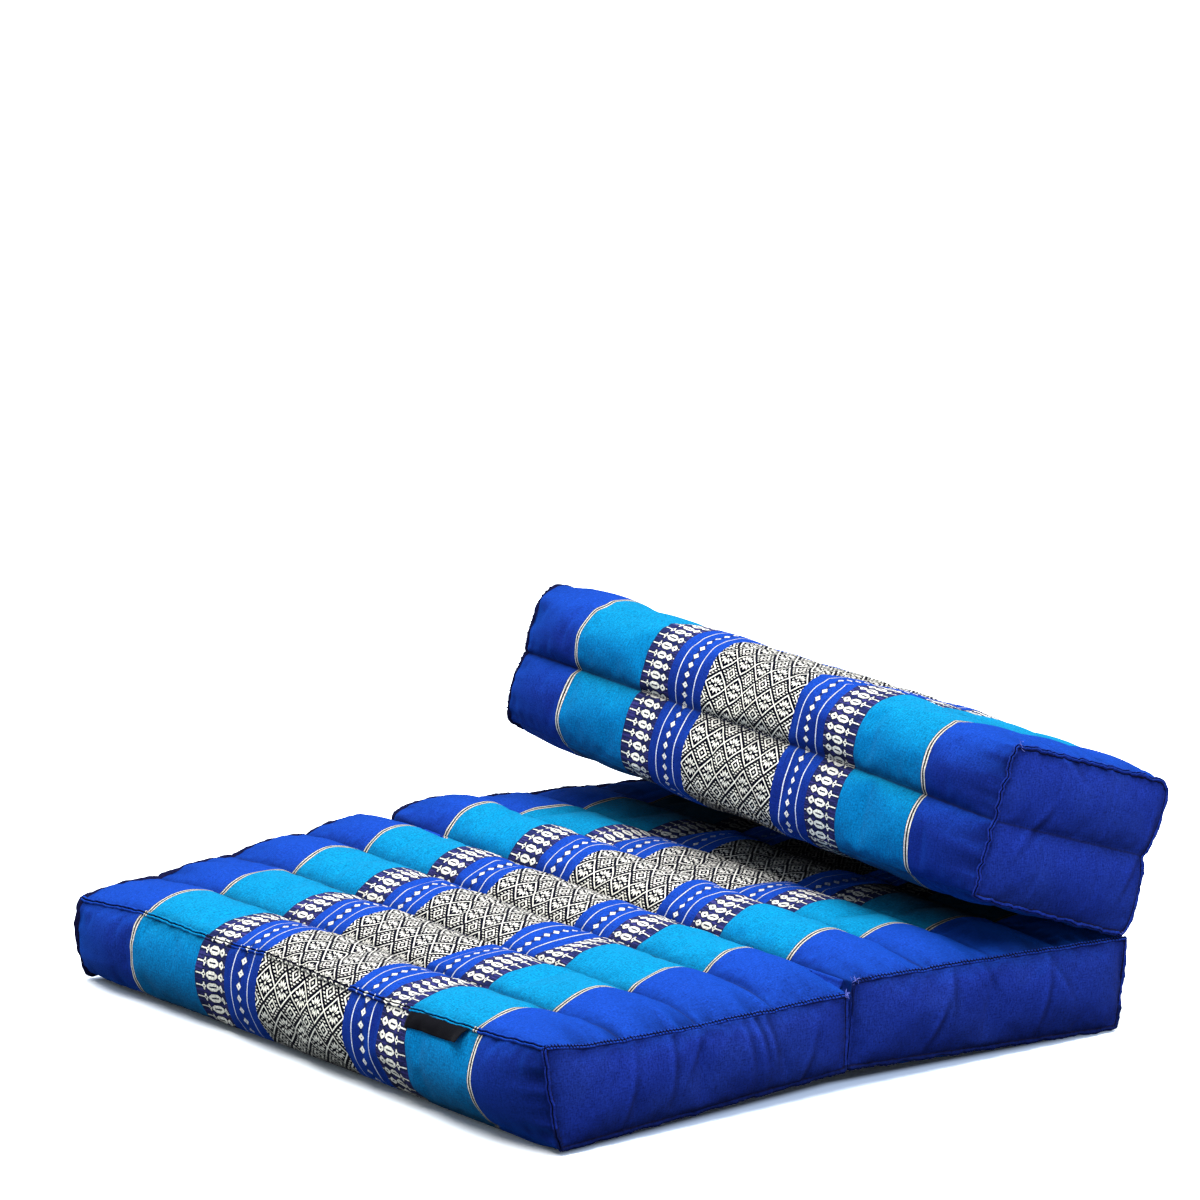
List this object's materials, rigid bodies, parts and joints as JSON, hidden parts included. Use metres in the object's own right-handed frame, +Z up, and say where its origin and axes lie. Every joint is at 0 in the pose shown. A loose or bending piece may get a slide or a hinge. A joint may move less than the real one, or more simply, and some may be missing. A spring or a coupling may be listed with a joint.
{
  "type": "foldable meditation cushion with two quilted floor mats and a hinged seat block",
  "caption": "Foldable meditation cushion: two quilted floor mats with a padded seat block hinged along the rear edge.",
  "frame": {"origin": "on the floor, at the middle of the whole object's bounding box", "axes": "+Z up, X along the width of the pads, the front mat towards -Y and the seat block towards +Y"},
  "size_m": [0.734, 0.7565, 0.3123],
  "materials": {
    "woven_cloth": "matt woven cotton in royal blue and turquoise with a cream pattern",
    "hinge_cloth": "matt plain cotton",
    "label_tape": "smooth woven tape"
  },
  "bodies": {
    "root": {"mat_front": "woven_cloth", "mat_back": "woven_cloth", "seat_block": "woven_cloth", "hinge_mats": "woven_cloth", "hinge_block": "hinge_cloth", "label_tab": "label_tape"}
  },
  "joints": []
}
